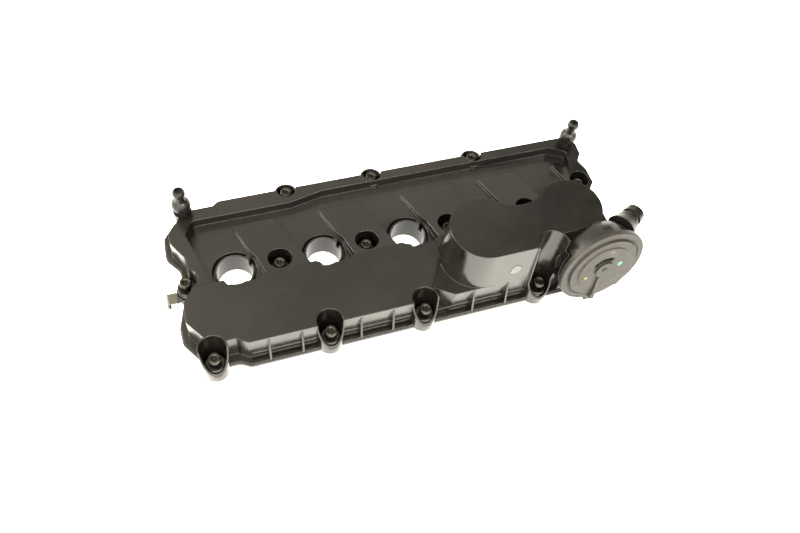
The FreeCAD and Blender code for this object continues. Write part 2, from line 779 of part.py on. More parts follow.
GROMMET_TOP = "Sizes.sleeve_top - Sizes.sleeve_flange_height - 0.05"
grommet = turned("grommet_pattern", [
    ("Sizes.sleeve_outer + 0.05", "1"),
    ("Sizes.grommet_neck - 0.05", "1"),
    ("Sizes.grommet_neck - 0.05", "Sizes.boss_height + 0.05"),
    ("Sizes.grommet_outer", "Sizes.boss_height + 0.05"),
    ("Sizes.grommet_outer", "Sizes.boss_height + 2.6"),
    ("Sizes.grommet_outer - 1", "Sizes.boss_height + 3.4"),
    ("Sizes.grommet_outer - 1", "Sizes.boss_height + 4.2"),
    ("Sizes.grommet_outer", "Sizes.boss_height + 5"),
    ("Sizes.grommet_outer", GROMMET_TOP + " - 0.8"),
    ("Sizes.grommet_outer - 0.8", GROMMET_TOP),
    ("Sizes.sleeve_outer + 0.05", GROMMET_TOP),
], node=False)
doc.recompute()
STANDS = [at(p[0], p[1]) for name, p in SCREWS]
group("screw_sleeves", sleeve, STANDS)
group("screw_grommets", grommet, STANDS)

# ---------------------------------------------------------------- ball studs


def primitive(kind, name, sizes, place):
    """A Part primitive whose sizes are bound to the sheet."""
    thing = doc.addObject(kind, name)
    for key, formula in sizes.items():
        thing.setExpression(key, formula)
    thing.Placement = place
    return thing


for name, x, stand in STUDS:
    pieces = [
        primitive("Part::Cylinder", name + "_shank",
                  {"Radius": "Sizes.stud_shank", "Height": "Sizes.frame_top"}, at(x, stand, 0.5)),
        primitive("Part::Cylinder", name + "_foot",
                  {"Radius": "Sizes.stud_collar * 0.66", "Height": "5"}, at(x, stand, FRAME_TOP)),
        primitive("Part::Sphere", name + "_collar",
                  {"Radius": "Sizes.stud_collar"}, at(x, stand, FRAME_TOP + 10.4)),
        primitive("Part::Cone", name + "_neck",
                  {"Radius1": "Sizes.stud_neck + 2.2", "Radius2": "Sizes.stud_neck",
                   "Height": "8"}, at(x, stand, FRAME_TOP + 17.4)),
        primitive("Part::Sphere", name + "_ball",
                  {"Radius": "Sizes.stud_head"}, at(x, stand, FRAME_TOP + 28.6)),
    ]
    whole = doc.addObject("Part::MultiFuse", name + "_turned")
    whole.Shapes = pieces
    cuts = [
        primitive("Part::Cylinder", name + "_socket",
                  {"Radius": "Sizes.stud_head * 0.5", "Height": "8"},
                  at(x, stand, FRAME_TOP + 30.2)),
        primitive("Part::Box", name + "_top_flat",
                  {"Length": "20", "Width": "20", "Height": "6"},
                  at(x - 10, stand - 10, FRAME_TOP + 32.8)),
        primitive("Part::Torus", name + "_waist",
                  {"Radius1": "Sizes.stud_collar + 3.4", "Radius2": "4.2"},
                  at(x, stand, FRAME_TOP + 19.8)),
    ]
    tool = doc.addObject("Part::MultiFuse", name + "_cuts")
    tool.Shapes = cuts
    stud = doc.addObject("Part::Cut", name)
    stud.Base = whole
    stud.Tool = tool
    keep(name, stud)

# ---------------------------------------------------------------- separator floor and drain flap


def build_floor():
    low = size("floor_low")
    high = low + size("floor_thick")
    plate = slab([(-204.8, -70.1, 7.8), (185.8, -70.1, 7.8), (185.8, -29.2, 0.5),
                  (-204.8, -29.2, 0.5)], low, high)
    vanes = []
    for number in range(6):
        x = -185.0 + 36.0 * number
        near = -69.0 if number % 2 else -58.0
        vanes.append(Part.makeBox(2.0, 26.0, 14.0, vec(x, near + 2.0, high - 0.5)))
    x = size("drain_x")
    y = size("drain_y")
    spout = rod(x, y, size("drain_radius"), size("drain_foot"), high)
    ears = [Part.makeBox(1.6, 3.0, 3.2, vec(x + side, y + 8.6, 2.1)) for side in (-5.2, 3.6)]
    solid = join([plate, spout] + vanes + ears)
    bore = rod(x, y, size("drain_bore"), 0, high + 1)
    pin_hole = Part.makeCylinder(0.55, 14, vec(x - 7, y + 10.0, 3.3), vec(1, 0, 0))
    return solid.cut([bore, pin_hole])


def build_flap():
    x = size("drain_x")
    y = size("drain_y")
    low = 0.8
    disc = rod(x, y, size("flap_radius"), low, low + size("flap_thick"))
    strap = Part.makeBox(5.0, 11.0, size("flap_thick"), vec(x - 2.5, y, low))
    riser = Part.makeBox(5.0, 0.9, 2.5, vec(x - 2.5, y + 10.1, low))
    knuckle = Part.makeCylinder(1.1, 6.0, vec(x - 3.0, y + 10.0, 3.3), vec(1, 0, 0))
    hole = Part.makeCylinder(0.58, 8.0, vec(x - 4.0, y + 10.0, 3.3), vec(1, 0, 0))
    return join([disc, strap, riser, knuckle]).cut(hole)


keep("separator_floor", feature("separator_floor", build_floor()))
keep("drain_flap", feature("drain_flap", build_flap()))
keep("flap_pin", primitive(
    "Part::Cylinder", "flap_pin", {"Radius": "0.5", "Height": "11"},
    FreeCAD.Placement(vec(size("drain_x") - 5.5, size("drain_y") + 10.0, 3.3),
                      FreeCAD.Rotation(vec(0, 1, 0), 90))))

# ---------------------------------------------------------------- pressure-regulating valve

lid_shell = turned("lid_shell", [
    ("0", "7.4"), ("8", "7.4"), ("8", "5.6"), ("26.5", "5.6"), ("27.5", "4.6"),
    ("34.5", "4.6"), ("35.5", "2.6"), ("Sizes.lid_radius - 2.4", "2.6"),
    ("Sizes.lid_radius - 2.4", "0"), ("Sizes.lid_radius", "0"),
    ("Sizes.lid_radius", "Sizes.lid_rim - 0.8"), ("Sizes.lid_radius - 0.8", "Sizes.lid_rim"),
    ("39", "Sizes.lid_rim"), ("38.4", "4.2"), ("37.2", "4.2"), ("36.4", "6.8"),
    ("28.6", "6.8"), ("28", "7.8"), ("9.8", "7.8"), ("9.8", "9.8"), ("2.6", "9.8"),
    ("2.6", "10.6"), ("0", "10.6"),
], node=False)
doc.recompute()


def build_lid():
    rim = size("lid_radius")
    rib = Part.makeBox(4.0, 30.5, 4.6, vec(-2.0, -rim + 1.5, 5.0))
    spine = Part.makeBox(4.0, 16.0, 3.6, vec(-2.0, -26.0, 6.0))
    tab = Part.makeBox(9.0, 7.0, 4.6, vec(-4.5, -rim - 4.6, 0))
    crescent = Part.makeCylinder(15.6, 8.0, vec(0, 0, 4), UP, 92.0)
    crescent = crescent.cut(Part.makeCylinder(11.0, 8.0, vec(0, 0, 4), UP))
    crescent.rotate(vec(0, 0, 0), UP, 56.0)
    pieces = [piece.translated(vec(-3.0, 0, 0)) for piece in (rib, spine, tab)]
    return lid_shell.Shape.fuse(pieces).cut(crescent).removeSplitter()


keep("valve_lid", feature("valve_lid", build_lid(), on_valve(-size("lid_rim"))))

pot_shell = turned("pot_shell", [
    ("Sizes.spigot_bore", "0"),
    ("Sizes.spigot_radius", "0"),
    ("Sizes.spigot_radius", "3"),
    ("Sizes.spigot_radius - 1.1", "3"),
    ("Sizes.spigot_radius - 1.1", "5"),
    ("Sizes.spigot_radius", "5"),
    ("Sizes.spigot_radius", "Sizes.spigot_length"),
    ("Sizes.pot_back_radius", "Sizes.spigot_length"),
    ("Sizes.pot_radius", "Sizes.spigot_length + 8"),
    ("Sizes.pot_radius", "Sizes.spigot_length + Sizes.pot_depth - 6"),
    ("Sizes.pot_radius + 2.8", "Sizes.spigot_length + Sizes.pot_depth - 6"),
    ("Sizes.pot_radius + 2.8", "Sizes.spigot_length + Sizes.pot_depth - 3.4"),
    ("Sizes.pot_radius - Sizes.pot_wall", "Sizes.spigot_length + Sizes.pot_depth - 3.4"),
    ("Sizes.pot_radius - Sizes.pot_wall", "Sizes.spigot_length + 8"),
    ("Sizes.pot_back_radius - Sizes.pot_wall", "Sizes.spigot_length + Sizes.pot_wall"),
    ("14.5", "Sizes.spigot_length + Sizes.pot_wall"),
    ("14.5", "Sizes.spigot_length + 12.5"),
    ("12.1", "Sizes.spigot_length + 12.5"),
    ("12.1", "Sizes.spigot_length + Sizes.pot_wall"),
    ("Sizes.spigot_bore", "Sizes.spigot_length + Sizes.pot_wall"),
], node=False)
doc.recompute()

POT_BASE = -size("pot_depth") - size("spigot_length")


def build_housing():
    pot = pot_shell.Shape.transformed(on_valve(POT_BASE).toMatrix(), copy=True)
    room = valve_round(size("pot_radius") - size("pot_wall"), -size("pot_depth") + 2.4, -3.0)
    outside = pot.fuse([shape.cut(room) for shape in port_outside(0.0)])
    reach = size("port_length")
    bore = port_round(size("port_bore"), -1, reach + 8)
    socket = port_round(size("port_radius") + 0.1, 0, reach - 2)
    windows = []
    for angle in (86.0, 58.0):
        window = Part.makeBox(6, 9, 5, vec(size("pot_radius") - 1.2, -4.5, -16))
        window.rotate(vec(0, 0, 0), UP, angle)
        windows.append(window.transformed(VALVE.toMatrix(), copy=True))
    whole = outside.cut([bore, socket] + windows)
    return sorted(whole.Solids, key=lambda s: s.Volume)[-1]


keep("valve_housing", feature("valve_housing", build_housing()))


def build_port():
    """Black tube with three low ribs, and a groove near its mouth for the end ring."""
    radius = size("port_radius")
    reach = size("port_length")
    tube = port_round(radius, 0, reach - 2.1)
    collar = port_round(radius + 1.6, 12.6, 15.3)
    lip = port_round(radius + 0.7, 0, 1.5)
    groove = port_round(20, 1.5, 8.5).cut(port_round(radius - 0.8, 0, 10))
    bore = port_round(size("port_bore"), -1, reach)
    return tube.fuse([collar, lip]).cut([groove, bore])


keep("hose_port", feature("hose_port", build_port()))

ring = port_round(size("port_radius") + 1.4, 1.6, 8.4)
ring = ring.cut(port_round(size("port_radius") - 0.75, 0, 10))
keep("hose_port_ring", feature("hose_port_ring", ring))

turned("valve_diaphragm", [
    ("Sizes.pot_radius + 2.6", "5.65"), ("Sizes.pot_radius + 2.6", "6.55"), ("36", "6.55"),
    ("33.5", "2.2"), ("28.5", "2.2"), ("26", "4.6"), ("17", "4.6"), ("17", "3.6"),
    ("25.4", "3.6"), ("27.8", "1"), ("34.2", "1"), ("36.6", "5.65"),
], on_valve(-9.0))

turned("valve_plate", [
    ("0", "0"), ("22", "0"), ("22", "1.5"), ("16.6", "1.5"), ("16.6", "2.8"), ("20", "2.8"),
    ("20", "3.8"), ("0", "3.8"),
], on_valve(-7.0))

seal_ring = primitive("Part::Torus", "valve_seal",
                      {"Radius1": "Sizes.spigot_radius - 0.3", "Radius2": "0.75"},
                      on_valve(POT_BASE + 4.0))
keep("valve_seal", seal_ring)


def build_spring():
    height = 15.9
    radius = size("spring_radius")
    helix = Part.makeHelix(3.7, height, radius)
    wire = size("spring_wire")
    start = Part.Wire(Part.makeCircle(wire, vec(radius, 0, 0), vec(0, 1, 0)))
    return Part.Wire(helix.Edges).makePipeShell([start], True, True)


keep("valve_spring", feature("valve_spring", build_spring(), on_valve(-23.78)))

# ---------------------------------------------------------------- harness clip

padded("harness_clip", "XZ_Plane", [
    ("0", "8"), ("0", "8 + Sizes.clip_thick"), ("-8.5", "8 + Sizes.clip_thick"),
    ("-10.4", "6.6"), ("-10.4", "0"), ("-7", "-1"), ("-7", "-1 + Sizes.clip_thick"),
    ("Sizes.clip_thick - 10.4", "Sizes.clip_thick"), ("Sizes.clip_thick - 10.4", "6"),
    ("Sizes.clip_thick - 9.6", "8"),
], "11", at(-233.4, -1, 1.6))

# ---------------------------------------------------------------- checks and files

doc.recompute()
for thing in doc.Objects:
    for word in ("Invalid", "Error"):
        if word in thing.State:
            raise RuntimeError("%s is in state %s" % (thing.Name, thing.State))
for name, thing in nodes:
    shape = thing.Shape
    if shape.isNull() or not shape.isValid() or not shape.Solids:
        raise RuntimeError("%s has no valid solid" % name)

os.makedirs("parts", exist_ok=True)
for name, thing in nodes:
    thing.Shape.exportStep("parts/%s.step" % name)
    box = thing.Shape.BoundBox
    print("%-18s %2d solids %10.0f mm3  z %.1f to %.1f" % (
        name, len(thing.Shape.Solids), thing.Shape.Volume, box.ZMin, box.ZMax))
print(len(nodes), "nodes")
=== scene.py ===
import json
import math

import bmesh
import bpy
from mathutils import Matrix, Vector
from mathutils.bvhtree import BVHTree


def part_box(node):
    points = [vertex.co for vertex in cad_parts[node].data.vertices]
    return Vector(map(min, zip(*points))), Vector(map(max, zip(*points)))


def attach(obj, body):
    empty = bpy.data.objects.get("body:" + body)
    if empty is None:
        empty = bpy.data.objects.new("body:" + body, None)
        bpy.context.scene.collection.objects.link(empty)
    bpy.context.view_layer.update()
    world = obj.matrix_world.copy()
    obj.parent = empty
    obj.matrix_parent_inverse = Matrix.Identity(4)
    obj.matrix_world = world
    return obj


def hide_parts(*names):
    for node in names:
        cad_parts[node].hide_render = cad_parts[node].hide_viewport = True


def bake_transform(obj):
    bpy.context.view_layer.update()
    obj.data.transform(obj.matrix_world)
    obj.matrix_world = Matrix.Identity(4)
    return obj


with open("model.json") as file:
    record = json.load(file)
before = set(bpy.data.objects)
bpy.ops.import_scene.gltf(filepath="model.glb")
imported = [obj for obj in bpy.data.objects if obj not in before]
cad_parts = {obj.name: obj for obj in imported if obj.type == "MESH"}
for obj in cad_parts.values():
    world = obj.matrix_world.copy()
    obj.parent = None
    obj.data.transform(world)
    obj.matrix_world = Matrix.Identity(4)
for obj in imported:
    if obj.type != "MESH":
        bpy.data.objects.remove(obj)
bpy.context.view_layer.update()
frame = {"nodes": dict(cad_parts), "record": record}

NODES = frame["nodes"]
MM = 0.001


# ---------------------------------------------------------------- shader helpers

def noise(tree, coords, scale, detail=3.0, roughness=0.5):
    """Noise over the coordinates; scale is features per unit."""
    node = tree.nodes.new("ShaderNodeTexNoise")
    node.inputs["Scale"].default_value = scale
    node.inputs["Detail"].default_value = detail
    node.inputs["Roughness"].default_value = roughness
    tree.links.new(coords, node.inputs["Vector"])
    return node.outputs["Fac"]


def ramp(tree, value, low, high, to_low, to_high, eased=False):
    """Carries low..high over to to_low..to_high; eased flattens both ends."""
    node = tree.nodes.new("ShaderNodeMapRange")
    if eased:
        node.interpolation_type = "SMOOTHSTEP"
    node.inputs["From Min"].default_value = low
    node.inputs["From Max"].default_value = high
    node.inputs["To Min"].default_value = to_low
    node.inputs["To Max"].default_value = to_high
    tree.links.new(value, node.inputs["Value"])
    return node.outputs["Result"]


def arithmetic(tree, operation, first, second):
    node = tree.nodes.new("ShaderNodeMath")
    node.operation = operation
    tree.links.new(first, node.inputs[0])
    tree.links.new(second, node.inputs[1])
    return node.outputs["Value"]


def against(tree, operation, coords, fixed):
    """Distance or dot product between the coordinates and one fixed vector."""
    node = tree.nodes.new("ShaderNodeVectorMath")
    node.operation = operation
    node.inputs[1].default_value = fixed
    tree.links.new(coords, node.inputs[0])
    return node.outputs["Value"]


def mixed(tree, share, first, second):
    """Colour mix; each side is either a plain colour or the output of another node."""
    node = tree.nodes.new("ShaderNodeMix")
    node.data_type = "RGBA"
    tree.links.new(share, node.inputs["Factor"])
    for side, colour in (("A", first), ("B", second)):
        if isinstance(colour, tuple):
            node.inputs[side].default_value = (*colour, 1.0)
        else:
            tree.links.new(colour, node.inputs[side])
    return node.outputs["Result"]


def bump(tree, height, strength, distance, after):
    node = tree.nodes.new("ShaderNodeBump")
    node.inputs["Strength"].default_value = strength
    node.inputs["Distance"].default_value = distance
    tree.links.new(height, node.inputs["Height"])
    tree.links.new(after, node.inputs["Normal"])
    return node.outputs["Normal"]


def object_coords(tree):
    return tree.nodes.new("ShaderNodeTexCoord").outputs["Object"]


def paint_over(material, mask, colour):
    """Lays one colour over the skin wherever the mask is 1."""
    tree = material.node_tree
    base = tree.nodes["Principled BSDF"].inputs["Base Color"]
    under = base.links[0].from_socket
    tree.links.new(mixed(tree, mask, under, colour), base)


# ---------------------------------------------------------------- skins

ROUND_SAMPLES = 4
WAVE_SCALE = 28.0
STREAKS_PER_BLOTCH = 4.5


def surface(name, dark, light, rough, blotch=18.0, grain=900.0, grain_depth=0.02, metal=0.0,
            wave=0.0, specular=0.5, edge=0.35):
    """One moulded or metal skin: two close shades in soft blotches, uneven gloss, fine grain.

    blotch and grain are features per metre; grain_depth, wave and edge are millimetres.
    """
    material = bpy.data.materials.new(name)
    material.use_nodes = True
    tree = material.node_tree
    shader = tree.nodes["Principled BSDF"]
    shader.inputs["Metallic"].default_value = metal
    shader.inputs["IOR"].default_value = 1.5
    shader.inputs["Specular IOR Level"].default_value = specular
    coords = object_coords(tree)
    patches = ramp(tree, noise(tree, coords, blotch, 4.0, 0.55), 0.35, 0.65, 0.0, 1.0)
    tree.links.new(mixed(tree, patches, dark, light), shader.inputs["Base Color"])
    streaks = noise(tree, coords, blotch * STREAKS_PER_BLOTCH, 5.0, 0.6)
    tree.links.new(ramp(tree, streaks, 0.3, 0.7, *rough), shader.inputs["Roughness"])
    rounds = tree.nodes.new("ShaderNodeBevel")
    rounds.samples = ROUND_SAMPLES
    rounds.inputs["Radius"].default_value = edge * MM
    grains = noise(tree, coords, grain, 2.0)
    normal = bump(tree, grains, 0.6, grain_depth * MM, rounds.outputs["Normal"])
    if wave > 0:
        normal = bump(tree, noise(tree, coords, WAVE_SCALE, 1.0), 0.5, wave * MM, normal)
    tree.links.new(normal, shader.inputs["Normal"])
    return material


SKINS = {
    "cover_plastic": surface(
        "cover_plastic", (0.0018, 0.0017, 0.0014), (0.0050, 0.0047, 0.0039), (0.13, 0.27),
        blotch=11.0, grain=1400.0, grain_depth=0.006, wave=0.09, edge=1.2),
    "floor_plastic": surface(
        "floor_plastic", (0.012, 0.012, 0.012), (0.018, 0.018, 0.017), (0.38, 0.5)),
    "flap_plastic": surface(
        "flap_plastic", (0.02, 0.02, 0.02), (0.03, 0.03, 0.029), (0.4, 0.5)),
    "seal_rubber": surface(
        "seal_rubber", (0.016, 0.016, 0.016), (0.026, 0.025, 0.024), (0.5, 0.65)),
    "screw_steel": surface(
        "screw_steel", (0.022, 0.020, 0.017), (0.06, 0.055, 0.047), (0.22, 0.38),
        blotch=260.0, grain=2600.0, metal=1.0),
    "sleeve_steel": surface(
        "sleeve_steel", (0.018, 0.0165, 0.014), (0.05, 0.046, 0.04), (0.24, 0.40),
        blotch=260.0, grain=2600.0, metal=1.0),
    "grommet_rubber": surface(
        "grommet_rubber", (0.004, 0.004, 0.004), (0.009, 0.009, 0.0085), (0.3, 0.45)),
    "stud_plastic": surface(
        "stud_plastic", (0.002, 0.002, 0.0018), (0.006, 0.0056, 0.005), (0.24, 0.38),
        blotch=140.0, specular=0.3),
    "pin_steel": surface(
        "pin_steel", (0.4, 0.39, 0.37), (0.55, 0.54, 0.52), (0.25, 0.35), metal=1.0),
    "lid_plastic": surface(
        "lid_plastic", (0.010, 0.0094, 0.0082), (0.018, 0.0168, 0.0147), (0.38, 0.52),
        blotch=30.0, grain=1800.0, grain_depth=0.03, specular=0.28, edge=0.6),
    "valve_plastic": surface(
        "valve_plastic", (0.005, 0.0047, 0.004), (0.011, 0.0104, 0.009), (0.34, 0.48),
        blotch=30.0, grain=1800.0, grain_depth=0.03, specular=0.4, edge=0.5),
    "ring_plastic": surface(
        "ring_plastic", (0.002, 0.002, 0.0018), (0.006, 0.0056, 0.005), (0.14, 0.26)),
    "diaphragm_rubber": surface(
        "diaphragm_rubber", (0.03, 0.024, 0.02), (0.045, 0.036, 0.03), (0.5, 0.65)),
    "plate_plastic": surface(
        "plate_plastic", (0.30, 0.29, 0.25), (0.36, 0.35, 0.31), (0.4, 0.5)),
    "spring_steel": surface(
        "spring_steel", (0.4, 0.4, 0.4), (0.55, 0.55, 0.54), (0.2, 0.3), metal=1.0),
    "clip_plastic": surface(
        "clip_plastic", (0.036, 0.033, 0.027), (0.056, 0.052, 0.043), (0.35, 0.5)),
}

for row in frame["record"]["subparts"]:
    skinned = NODES[row["node"]].data
    skinned.materials.clear()
    skinned.materials.append(SKINS[row["material_slot"]])


# ---------------------------------------------------------------- valve directions, paint dabs

# The valve's own directions: out of the lid, along it to the right, and up it.
TURN = math.radians(3.0)
TILT = math.radians(10.0)
VALVE_OUT = Vector((math.sin(TURN) * math.cos(TILT), -math.cos(TURN) * math.cos(TILT),
                    math.sin(TILT)))
VALVE_SIDE = Vector((0, 0, 1)).cross(VALVE_OUT).normalized()
VALVE_UP = VALVE_OUT.cross(VALVE_SIDE)
VALVE_MIDDLE = Vector((0.1658, -0.0988, 0.0565))

LID_FACE = 2.8
RAGGED = 0.6
DAB_EDGE = 0.4

# Across and up the lid and the radius, in millimetres, then the paint's colour.
DABS = (
    (18.0, 1.3, 3.0, (0.045, 0.16, 0.11)),
    (-18.6, -7.3, 1.6, (0.28, 0.20, 0.03)),
    (3.9, 23.0, 2.2, (0.05, 0.046, 0.039)),
)


def on_valve(across, up, out):
    """A place in the valve's own directions, in millimetres from its middle."""
    return VALVE_MIDDLE + (VALVE_SIDE * across + VALVE_UP * up + VALVE_OUT * out) * MM


def spot(material, centre, radius, colour):
    """Small dab of paint on a skin, with a slightly ragged edge."""
    tree = material.node_tree
    coords = object_coords(tree)
    ragged = ramp(tree, noise(tree, coords, 700.0, 2.0), 0.0, 1.0, -RAGGED * MM, RAGGED * MM)
    reach = arithmetic(tree, "ADD", against(tree, "DISTANCE", coords, centre), ragged)
    inside = ramp(tree, reach, radius * MM, (radius - DAB_EDGE) * MM, 0.0, 1.0)
    paint_over(material, inside, colour)


for across, up, radius, colour in DABS:
    spot(SKINS["lid_plastic"], on_valve(across, up, LID_FACE), radius, colour)


# ---------------------------------------------------------------- meshes and smooth skins

CRISP_ANGLE = 34.0
WELD_REACH = 0.01


def smooth_group():
    """Modifier tree: smooth faces, with every edge sharper than CRISP_ANGLE left crisp."""
    group = bpy.data.node_groups.new("smooth_skin", "GeometryNodeTree")
    group.interface.new_socket("Geometry", in_out="INPUT", socket_type="NodeSocketGeometry")
    group.interface.new_socket("Geometry", in_out="OUTPUT", socket_type="NodeSocketGeometry")
    source = group.nodes.new("NodeGroupInput").outputs[0]
    sink = group.nodes.new("NodeGroupOutput").inputs[0]
    plain = group.nodes.new("GeometryNodeRemoveAttribute")
    plain.inputs["Name"].default_value = "custom_normal"
    faces = group.nodes.new("GeometryNodeSetShadeSmooth")
    faces.domain = "FACE"
    edges = group.nodes.new("GeometryNodeSetShadeSmooth")
    edges.domain = "EDGE"
    edges.inputs["Shade Smooth"].default_value = False
    angle = group.nodes.new("GeometryNodeInputMeshEdgeAngle")
    sharp = group.nodes.new("FunctionNodeCompare")
    sharp.operation = "GREATER_THAN"
    sharp.inputs["B"].default_value = math.radians(CRISP_ANGLE)
    links = group.links
    links.new(source, plain.inputs["Geometry"])
    links.new(plain.outputs["Geometry"], faces.inputs["Geometry"])
    links.new(faces.outputs["Geometry"], edges.inputs["Geometry"])
    links.new(angle.outputs["Unsigned Angle"], sharp.inputs["A"])
    links.new(sharp.outputs["Result"], edges.inputs["Selection"])
    links.new(edges.outputs["Geometry"], sink)
    return group


SMOOTH = smooth_group()


def shade(piece):
    piece.modifiers.new("skin", "NODES").node_group = SMOOTH


def soften(piece):
    """Joins the skin across its faces, so that rounds shade evenly."""
    piece.modifiers.new("weld", "WELD").merge_threshold = WELD_REACH * MM
    shade(piece)


def placed(name, data):
    piece = bpy.data.objects.new(name, data)
    bpy.context.scene.collection.objects.link(piece)
    return piece


def join_loops(build, loops):
    """Skins a stack of closed loops of equal length."""
    for low, high in zip(loops[:-1], loops[1:]):
        for i in range(len(low)):
            j = (i + 1) % len(low)
            build.faces.new((low[i], low[j], high[j], high[i]))


def finished(build, name):
    mesh = bpy.data.meshes.new(name)
    build.to_mesh(mesh)
    build.free()
    return mesh


def smoothed(mesh):
    for face in mesh.polygons:
        face.use_smooth = True
    return mesh


for node in NODES.values():
    soften(node)


# ---------------------------------------------------------------- spring and diaphragm


def bending(name):
    """A soft piece of the valve, copied with a smoothed skin in place of the CAD part; in the
    real valve it is still at one end and moves with the plate at the other.
    """
    piece = placed(name + "_soft", NODES[name].data.copy())
    soften(piece)
    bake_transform(piece)
    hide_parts(name)


bending("valve_spring")
bending("valve_diaphragm")


# ---------------------------------------------------------------- clip

FLANGE_TOP = 8.0
GROMMET_EDGE = 10.1
TONGUE_THICK = 1.7
TONGUE_STEPS = 9
TONGUE_START = 186.0
TONGUE_SWEEP = 52.0


def clip_mesh():
    """The bent strip, with a tongue that lies on the flange around the end screw's grommet."""
    strip = NODES["harness_clip"].data
    corners = NODES["end_screw_left"].bound_box
    centre = sum((Vector(corner) for corner in corners), Vector()) / len(corners)
    left = max(v.co.x for v in strip.vertices) - MM
    outline = [(left, edge(v.co.y for v in strip.vertices)) for edge in (min, max)]
    for i in range(TONGUE_STEPS):
        turn = math.radians(TONGUE_START + TONGUE_SWEEP * i / (TONGUE_STEPS - 1))
        outline.append((centre.x + GROMMET_EDGE * MM * math.cos(turn),
                        centre.y + GROMMET_EDGE * MM * math.sin(turn)))
    build = bmesh.new()
    build.from_mesh(strip)
    loops = [[build.verts.new((x, y, z * MM)) for x, y in outline]
             for z in (FLANGE_TOP, FLANGE_TOP + TONGUE_THICK)]
    for loop in loops:
        build.faces.new(loop)
    join_loops(build, loops)
    bmesh.ops.recalc_face_normals(build, faces=build.faces)
    mesh = finished(build, "clip_with_tongue")
    mesh.materials.append(SKINS["clip_plastic"])
    return mesh


clip = placed("clip_with_tongue", clip_mesh())
soften(clip)
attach(clip, "cover")
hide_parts("harness_clip")


# ---------------------------------------------------------------- screws

SCREW_SIDES = 48
SCREW_HEIGHT = 27.0
HEAD_BASE = 23.0
HEAD_RADIUS = 5.8
SHANK_RADIUS = 2.95
SOCKET_DEPTH = 2.5
SOCKET_RADIUS = 2.45
SOCKET_LOBES = 6
LOBE_DEPTH = 0.36
THREAD_START = 1.0
THREAD_LENGTH = 15.0
THREAD_ROOT = 2.55
THREAD_DEPTH = 0.4
THREAD_RINGS = 96


def star(turn):
    """Radius of the lobed socket at an angle."""
    return SOCKET_RADIUS + LOBE_DEPTH * math.cos(SOCKET_LOBES * turn)


def thread(z, turn):
    """Radius of the threaded shank: a ridge that climbs one millimetre a turn."""
    phase = (z - turn / (2 * math.pi)) % 1.0
    ridge = 1.0 - abs(2 * phase - 1)
    return THREAD_ROOT + THREAD_DEPTH * ridge * min(1.0, z - THREAD_START)


def round_rings(rows):
    """Plain round rings from rows of height and radius."""
    return [(z, lambda turn, radius=radius: radius) for z, radius in rows]


def screw_mesh():
    """Rings from the tip up, each a height and a radius by angle."""
    rings = round_rings(((0.0, 0.6), (0.0, 2.2), (0.5, 2.5)))
    for i in range(THREAD_RINGS + 1):
        z = THREAD_START + THREAD_LENGTH * i / THREAD_RINGS
        rings.append((z, lambda turn, z=z: thread(z, turn)))
    rings += round_rings((
        (16.4, 2.6),
        (16.8, SHANK_RADIUS),
        (HEAD_BASE, SHANK_RADIUS),
        (HEAD_BASE, HEAD_RADIUS - 0.25),
        (HEAD_BASE + 0.25, HEAD_RADIUS),
        (SCREW_HEIGHT - 1.1, HEAD_RADIUS),
        (SCREW_HEIGHT - 0.55, HEAD_RADIUS - 0.16),
        (SCREW_HEIGHT - 0.2, HEAD_RADIUS - 0.5),
        (SCREW_HEIGHT - 0.04, HEAD_RADIUS - 1.0),
        (SCREW_HEIGHT, HEAD_RADIUS - 1.5),
        (SCREW_HEIGHT, 3.5),
        (SCREW_HEIGHT - 0.1, 3.3),
    ))
    rings.append((SCREW_HEIGHT - 0.35, lambda turn: star(turn) + 0.28))
    rings.append((SCREW_HEIGHT - 0.6, star))
    rings.append((SCREW_HEIGHT - SOCKET_DEPTH, star))
    rings += round_rings(((SCREW_HEIGHT - SOCKET_DEPTH - 0.05, 1.2),))
    build = bmesh.new()
    turns = [2 * math.pi * i / SCREW_SIDES for i in range(SCREW_SIDES)]
    loops = [[build.verts.new((radius(turn) * MM * math.cos(turn),
                               radius(turn) * MM * math.sin(turn), z * MM)) for turn in turns]
             for z, radius in rings]
    join_loops(build, loops)
    build.faces.new(loops[0][::-1])
    build.faces.new(loops[-1])
    mesh = smoothed(finished(build, "screw"))
    mesh.materials.append(SKINS["screw_steel"])
    return mesh


SCREW = screw_mesh()
for row in frame["record"]["subparts"]:
    if row["material_slot"] != "screw_steel":
        continue
    low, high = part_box(row["node"])
    screw = placed(row["node"] + "_turned", SCREW)
    screw.location = ((low.x + high.x) / 2, (low.y + high.y) / 2, low.z)
    shade(screw)
    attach(screw, row["node"] + "_body")
    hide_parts(row["node"])


# ---------------------------------------------------------------- label on the chamber

LABEL_START = Vector((0.0799, -0.12, 0.0566))
REARWARD = Vector((0, 1, 0))
LABEL_HALF_WIDTH = 6.2
LABEL_HALF_HEIGHT = 7.9
LABEL_SIDES = 40
LABEL_RINGS = 6
INNERMOST_RING = 0.02
LABEL_LIFT = 0.12
LABEL_THICK = 0.1


def label_mesh():
    """Oval sticker on the chamber's front wall, laid on it by straight lines from the front."""
    cover = NODES["cover_body"].data
    skin = BVHTree.FromPolygons([v.co for v in cover.vertices],
                                [p.vertices for p in cover.polygons])
    build = bmesh.new()
    loops = []
    for ring in range(LABEL_RINGS + 1):
        share = max(ring, INNERMOST_RING) / LABEL_RINGS
        loop = []
        for i in range(LABEL_SIDES):
            turn = 2 * math.pi * i / LABEL_SIDES
            aside = Vector((LABEL_HALF_WIDTH * MM * share * math.cos(turn), 0,
                            LABEL_HALF_HEIGHT * MM * share * math.sin(turn)))
            place = skin.ray_cast(LABEL_START + aside, REARWARD)[0]
            loop.append(build.verts.new(place - REARWARD * LABEL_LIFT * MM))
        loops.append(loop)
    build.faces.new(loops[0][::-1])
    join_loops(build, loops)
    return smoothed(finished(build, "label"))


